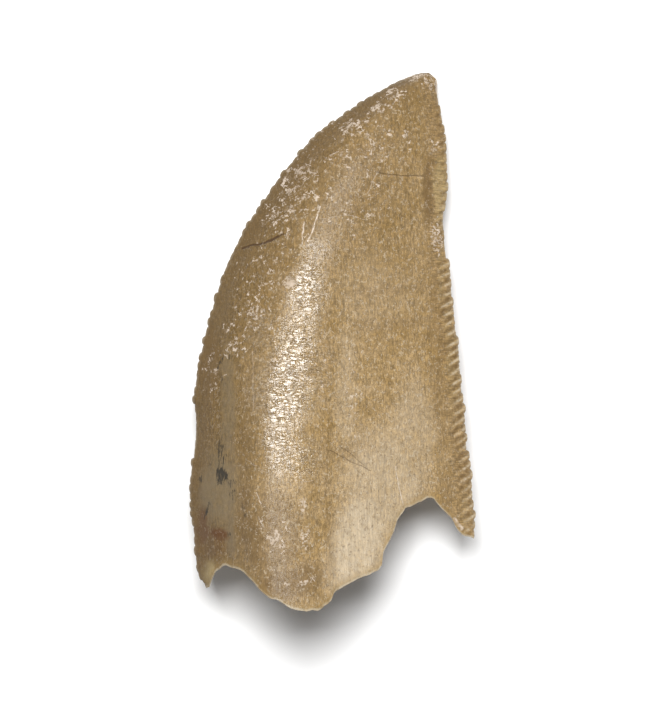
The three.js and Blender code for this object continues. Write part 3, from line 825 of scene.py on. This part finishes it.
# Colours, as linear red, green and blue
HONEY = (0.215, 0.135, 0.046)
TAN = (0.285, 0.197, 0.097)
UMBER = (0.105, 0.060, 0.020)
CREAM = (0.485, 0.410, 0.303)
CHALK = (0.560, 0.470, 0.385)
MOSS = (0.155, 0.122, 0.074)
RUST = (0.088, 0.037, 0.010)
SOOT = (0.020, 0.018, 0.014)
AMBER = (0.440, 0.350, 0.170)
# Darkening of the front flank and the tip: on the front flank partly stain, partly painted shade
FLANK_SHADE = (0.105, 0.062, 0.018)
# Darker tones of the edge zones, partly their own colour and partly painted shade
FRONT_EDGE_SHADE = (0.105, 0.066, 0.028)
REAR_EDGE_SHADE = (0.190, 0.120, 0.048)
# Pale line at the outer cutting edges, where it is a painted halo of light, and at the broken rim
PALE_EDGE = (0.40, 0.36, 0.28)
RIM_AMBER = (0.220, 0.140, 0.048)
CRACK_SHADE = (0.062, 0.030, 0.010)
DENTINE_DARK = (0.25, 0.17, 0.09)
DENTINE_PALE = (0.40, 0.31, 0.19)

LINE_WANDER = ((0.5, 0.22), (0.12, 0.06))  # sizes and strengths of the bends in drawn lines

# Sheen
SPECULAR = 0.25
COAT_ROUGHNESS = 0.16
PLAIN_GLOSS = 0.12
WRINKLE_GLOSS = 0.85  # added to the plain gloss on the wrinkled patch
FLECK_MATT = 0.5  # taken from the gloss on flecks
ENAMEL_ROUGHNESS = (0.62, 0.82)
FLECK_ROUGHNESS = 0.12  # added on flecks
SOOT_ROUGHNESS = 0.1  # added on black specks
DENTINE_ROUGHNESS = (0.65, 0.85)

NOISE_SPAN = (0.3, 0.7)  # of a shader noise, between which nearly all of its values lie

# How strongly the long grooves shade the enamel, and what more on the pale regions
LINE_SHADE = 0.3
PALE_LINE_SHADE = 0.35
SOOT_STRENGTH = 0.9

# Fine relief of the enamel and the dentine
LINE_RISE = 0.005
CURL_RISE = 0.006
STRAND_RISE = 0.005
CUT_DEPTH = 0.008
GRAIN_RISE = 0.016
FOLD_DEPTH = 0.012
FLECK_RISE = 0.012
RIPPLE_RISE = 0.042
CREASE_RISE = 0.014
CRACK_DEPTH = 0.06
SCRATCH_DEPTH = 0.02
PIT_RISE = 0.06
FIBRE_RISE = 0.02

# Fine lines of the enamel: size, thickness, stretch, turn, and the level of a noise up to which
# none are drawn
STROKES = {
    "curls": (0.24, 0.05, (1, 1, 1), 0.0, 0.56),
    "strands": (0.22, 0.05, (1.5, 0.5, 1), 0.05, 0.54),
    "ripples": (0.30, 0.08, (0.5, 1.4, 1), 0.12, 0.45),
    "cuts": (0.20, 0.045, (1.3, 0.55, 1), -0.1, 0.54),
    "folds": (0.24, 0.06, (0.6, 1.3, 1), -0.5, 0.42),
}


def worms(paint, size, thickness, stretch, turn, bare):
    """Short winding lines: stretches of the contours of a noise."""
    field = paint.noise(size, 2, 0.5, vector=paint.stretched(stretch, turn))
    off_line = paint.math("ABSOLUTE", paint.math("SUBTRACT", field, 0.5))
    line = paint.ramp(off_line, 0.2 * thickness, thickness, 1.0, 0.0)
    where = paint.math("SUBTRACT", paint.noise(size * 0.95, 2, 0.6), bare)
    return paint.times(line, paint.ramp(where, 0.0, 0.05))


def enamel_base(paint):
    """Honey to tan in clouds, with fine grain, darker at the tip and down the front flank, where the
    darkening is partly brown stain and partly painted shade.
    """
    u, v = paint.mask("u"), paint.mask("v")
    clouds = paint.noise(2.2, 4, 0.6)
    patches = paint.noise(0.45, 4, 0.65)
    share = paint.add(paint.times(clouds, 0.5), paint.times(patches, 0.6), paint.times(v, -0.1))
    color = paint.mix(paint.ramp(share, *NOISE_SPAN), HONEY, TAN)
    # Down the front flank this darkening is partly brown stain and partly painted shade of the face turned
    # from the light; towards the tip the crown is simply made darker
    front = paint.ramp(u, 0.0, 0.4, 0.92, 0.0)
    toward_tip = paint.times(paint.ramp(v, 0.4, 0.75, 0.0, 0.4), paint.ramp(u, 0.45, 0.9, 1.0, 0.4))
    color = paint.mix(paint.math("MAXIMUM", front, toward_tip), color, FLANK_SHADE)
    sand = paint.ramp(paint.noise(0.07, 2, 0.7), *NOISE_SPAN, 0.80, 1.20)
    threads = paint.noise(1, 3, 0.7, vector=paint.stretched((13, 3.4, 8), 0.03))
    threads = paint.ramp(threads, *NOISE_SPAN, 0.68, 1.32)
    blotches = paint.ramp(paint.noise(0.24, 3, 0.7), *NOISE_SPAN, 0.90, 1.10)
    return paint.tint(color, paint.times(sand, threads, blotches))


def region_tints(paint, color):
    """Tints of the regions, broken up by noise."""
    ragged = paint.ramp(paint.noise(0.5, 4, 0.7), 0.25, 0.6, 0.55, 1.0)
    for name, tint, strength in (
        ("pale", CREAM, 0.6), ("brown", UMBER, 0.45), ("grey", MOSS, 0.6), ("rust", RUST, 1.0),
        ("yellow", AMBER, 0.6),
    ):
        color = paint.mix(paint.times(paint.mask(name), ragged, strength), color, tint)
    return color


def striations(paint):
    """Fine grooves along the crown, as values around 0."""
    fine = paint.noise(1, 3, 0.65, vector=paint.stretched((15, 0.9, 6)))
    broad = paint.noise(1, 2, 0.5, vector=paint.stretched((3.2, 0.12, 1.5)))
    return paint.add(paint.times(paint.add(fine, -0.5), 1.5), paint.times(paint.add(broad, -0.5), 0.8))


def stroke_tints(paint, color, strokes):
    """Pale and dark fine lines, fainter on the grey patch and the front flank. The pale lines are painted
    glints and highlight, and the dark folds on the wrinkled patch are painted shade in its creases.
    """
    wrinkle = paint.mask("wrinkle")
    off_grey = paint.ramp(paint.mask("grey"), 0.0, 0.6, 1.0, 0.15)
    clear = paint.times(off_grey, paint.ramp(paint.mask("u"), 0.0, 0.3, 0.45, 1.0))
    for name, where, strength, tint in (
        # The pale curls and strands are painted glints of fine cracks in the enamel
        ("curls", clear, 0.42, CREAM), ("strands", clear, 0.40, CREAM), ("cuts", clear, 0.45, UMBER),
        # On the wrinkled patch the pale ripples are a painted highlight and the dark folds painted shade
        # in its creases
        ("ripples", wrinkle, 0.25, CREAM), ("folds", wrinkle, 0.45, UMBER),
    ):
        color = paint.mix(paint.times(strokes[name], where, strength), color, tint)
    return color


def marks(paint, lines):
    """The strongest of a set of lines drawn over the cheek side."""
    total = 0.0
    for width, strength, points in lines:
        for start, end in zip(points, points[1:]):
            line = paint.times(paint.segment(start, end, width), strength)
            total = paint.math("MAXIMUM", total, line)
    return paint.times(total, paint.mask("cheek"))


def edge_tints(paint, color):
    """Darker zones along the cutting edges, with pale ribs, brown notches and a pale outermost line. The
    zones and notches are partly their own brown tone and partly painted shade, and the outermost line is a
    painted halo of light.
    """
    front, rear, cheek = paint.mask("front_zone"), paint.mask("rear_zone"), paint.mask("cheek")
    # Painted shade: the zones along both edges are darkened partly for their own grey-brown tone and
    # partly where the surface turns from the light
    color = paint.mix(paint.ramp(front, 0.05, 0.6, 0.5, 0.0), color, FRONT_EDGE_SHADE)
    color = paint.mix(paint.ramp(rear, 0.1, 0.65, 0.5, 0.0), color, REAR_EDGE_SHADE)
    fringe = paint.add(paint.noise(1, 3, 0.7, vector=paint.stretched((2.0, 12, 6), -0.25)), -0.5)
    fringe = paint.times(fringe, paint.ramp(rear, 0.25, 0.5, 1.0, 0.0), cheek, 2.2)
    color = paint.tint(color, paint.add(1.0, fringe))
    uneven = paint.ramp(paint.noise(0.3, 3, 0.7), 0.38, 0.62, 0.25, 1.0)
    # Brown notches between the denticles: partly brown sulci, partly painted shade
    valley = paint.ramp(paint.mask("notch"), 0.05, 0.7, 0.0, 0.85)
    color = paint.mix(paint.times(valley, uneven), color, UMBER)
    crest = paint.ramp(paint.mask("rib"), 0.5, 0.92)
    color = paint.mix(paint.times(crest, uneven, 0.6), color, CREAM)
    # The pale outermost line along the cutting edges is a painted halo of light
    outermost = paint.math("MAXIMUM", *(paint.ramp(zone, 0.0, 0.05, 0.35, 0.0) for zone in (front, rear)))
    return paint.mix(paint.times(outermost, uneven, cheek), color, PALE_EDGE)


def fleck_shapes(paint):
    """Soft pale patches with crisp curls in them, crowded where the fleck mask is strong."""
    mask = paint.mask("fleck")
    curl = paint.math("ABSOLUTE", paint.add(paint.noise(0.26, 2, 0.6), -0.5))
    curls = paint.ramp(curl, 0.03, 0.08, 1.0, 0.0)
    group = paint.add(paint.noise(0.42, 3, 0.7), paint.times(mask, 0.17))
    curls = paint.times(curls, paint.ramp(group, 0.655, 0.70))
    patch = paint.add(paint.noise(0.36, 4, 0.75), paint.times(mask, 0.15))
    patches = paint.add(paint.ramp(patch, 0.665, 0.76, 0.0, 0.42), paint.ramp(patch, 0.74, 0.78, 0.0, 0.5))
    return paint.times(paint.math("MAXIMUM", curls, patches), paint.ramp(mask, 0.0, 0.25))


def soot_specks(paint):
    """Black specks, streaked along the crown."""
    spot = paint.mask("spot")
    smudge = paint.noise(1, 3, 0.7, vector=paint.stretched((10, 2.4, 6)))
    specks = paint.add(spot, paint.times(paint.add(smudge, -0.5), 3.6))
    return paint.times(paint.ramp(specks, 0.35, 1.15), paint.ramp(spot, 0.0, 0.4))


def rim_tints(paint, color):
    """An amber band inside the broken rim, with a thin pale line at the break."""
    rim = paint.mask("rim")
    color = paint.mix(paint.ramp(rim, 0.05, 0.45, 0.45, 0.0), color, RIM_AMBER)
    broken = paint.ramp(paint.noise(0.4, 3, 0.7), 0.35, 0.6, 0.3, 1.0)
    return paint.mix(paint.times(paint.ramp(rim, 0.04, 0.12, 0.55, 0.0), broken), color, PALE_EDGE)


def enamel_height(paint, layers):
    """Fine relief in millimetres: the sum of named layers, and the wrinkled patch like creased foil."""
    wrinkle = paint.mask("wrinkle")
    calm = paint.math("SUBTRACT", 1.0, wrinkle)
    crease_field = paint.noise(1, 1.2, 0.5, vector=paint.stretched((2.2, 4.4, 2), -0.45))
    creases = paint.math("ABSOLUTE", paint.add(crease_field, -0.5))
    ripples = paint.noise(1, 1, 0.5, vector=paint.stretched((1.8, 5.4, 2), 0.12))
    return paint.add(
        paint.times(layers["lines"], LINE_RISE),
        paint.times(layers["curls"], calm, CURL_RISE),
        paint.times(layers["strands"], calm, STRAND_RISE),
        paint.times(layers["cuts"], -CUT_DEPTH),
        paint.times(paint.noise(0.13, 1.5, 0.5), calm, GRAIN_RISE),
        paint.times(layers["folds"], wrinkle, -FOLD_DEPTH),
        paint.times(layers["flecks"], FLECK_RISE),
        paint.times(ripples, wrinkle, RIPPLE_RISE),
        paint.times(paint.ramp(creases, 0.0, 0.07), wrinkle, CREASE_RISE),
        paint.times(layers["cracks"], -CRACK_DEPTH),
        paint.times(layers["scratches"], -SCRATCH_DEPTH),
    )


def enamel():
    paint = Paint("enamel")
    strokes = {name: worms(paint, *values) for name, values in STROKES.items()}
    lines, flecks, soot = striations(paint), fleck_shapes(paint), soot_specks(paint)
    cracks, scratches = marks(paint, CRACKS), marks(paint, SCRATCHES)

    color = region_tints(paint, enamel_base(paint))
    line_depth = paint.add(LINE_SHADE, paint.times(paint.mask("pale"), PALE_LINE_SHADE))
    color = paint.tint(color, paint.add(1.0, paint.times(lines, line_depth)))
    color = stroke_tints(paint, color, strokes)
    color = edge_tints(paint, color)
    fleck_share = paint.ramp(paint.noise(0.7, 2, 0.6), 0.35, 0.65, 0.5, 0.8)
    color = paint.mix(paint.times(flecks, fleck_share), color, CHALK)
    frayed = paint.ramp(paint.noise(0.16, 3, 0.7), 0.36, 0.58, 0.25, 1.0)
    color = paint.mix(paint.times(scratches, frayed), color, CHALK)
    color = paint.mix(cracks, color, CRACK_SHADE)
    color = paint.mix(paint.times(soot, SOOT_STRENGTH), color, SOOT)
    color = rim_tints(paint, color)

    wear = paint.ramp(paint.noise(0.6, 4, 0.7), *NOISE_SPAN, *ENAMEL_ROUGHNESS)
    roughness = paint.add(wear, paint.times(flecks, FLECK_ROUGHNESS), paint.times(soot, SOOT_ROUGHNESS))
    gloss = paint.add(PLAIN_GLOSS, paint.times(paint.mask("wrinkle"), WRINKLE_GLOSS))
    gloss = paint.math("SUBTRACT", gloss, paint.times(flecks, FLECK_MATT), clamp=True)
    layers = {"lines": lines, "flecks": flecks, "cracks": cracks, "scratches": scratches, **strokes}
    return paint.finish(color, roughness, enamel_height(paint, layers), gloss)


def dentine():
    """Bare dentine of the broken rim and of the hollow's wall."""
    paint = Paint("dentine")
    mottle = paint.noise(0.8, 5, 0.65)
    color = paint.mix(paint.ramp(mottle, *NOISE_SPAN), DENTINE_DARK, DENTINE_PALE)
    grain = paint.noise(1, 4, 0.7, vector=paint.stretched((7, 0.9, 7)))
    color = paint.tint(color, paint.ramp(grain, *NOISE_SPAN, 0.8, 1.15))
    height = paint.add(paint.times(paint.noise(0.3, 5, 0.7), PIT_RISE), paint.times(grain, FIBRE_RISE))
    return paint.finish(color, paint.ramp(mottle, *NOISE_SPAN, *DENTINE_ROUGHNESS), height)


# Setting

def make_camera():
    data = bpy.data.cameras.new("camera")
    data.lens, data.sensor_width = LENS, SENSOR
    data.clip_end = FAR_LIMIT
    camera = bpy.data.objects.new("camera", data)
    bpy.context.collection.objects.link(camera)
    distance = PICTURE[1] * PIXEL * LENS / SENSOR
    camera.location = Vector((*PICTURE_MIDDLE, EDGE_HEIGHT + distance)) * MM
    bpy.context.scene.camera = camera


def make_floor():
    bpy.ops.mesh.primitive_plane_add(size=FLOOR_SIZE)
    floor = bpy.context.object
    floor.name = "floor"
    material = bpy.data.materials.new("white_paper")
    material.use_nodes = True
    shader = material.node_tree.nodes["Principled BSDF"]
    shader.inputs["Base Color"].default_value = (*FLOOR_WHITE, 1)
    shader.inputs["Roughness"].default_value = FLOOR_ROUGHNESS
    shader.inputs["Specular IOR Level"].default_value = FLOOR_SPECULAR
    floor.data.materials.append(material)


def area_light(name, place, size, power):
    """A square light at a place in metres, turned to the tooth."""
    data = bpy.data.lights.new(name, "AREA")
    data.size, data.energy = size, power
    light = bpy.data.objects.new(name, data)
    bpy.context.collection.objects.link(light)
    light.location = place
    light.rotation_euler = (-Vector(place)).to_track_quat("-Z", "Y").to_euler()


def make_lights():
    area_light("key", KEY_PLACE, KEY_SIZE, KEY_POWER)
    world = bpy.data.worlds.new("world")
    world.use_nodes = True
    background = world.node_tree.nodes["Background"]
    background.inputs["Color"].default_value = (1, 1, 1, 1)
    background.inputs["Strength"].default_value = SKY_STRENGTH
    bpy.context.scene.world = world
    bpy.context.scene.view_settings.view_transform = "Standard"


make_camera()
make_floor()
make_lights()

crown = make_crown()
crown.data.materials.append(enamel())
crown.data.materials.append(dentine())
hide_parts("tooth_crown")
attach(crown, "root")
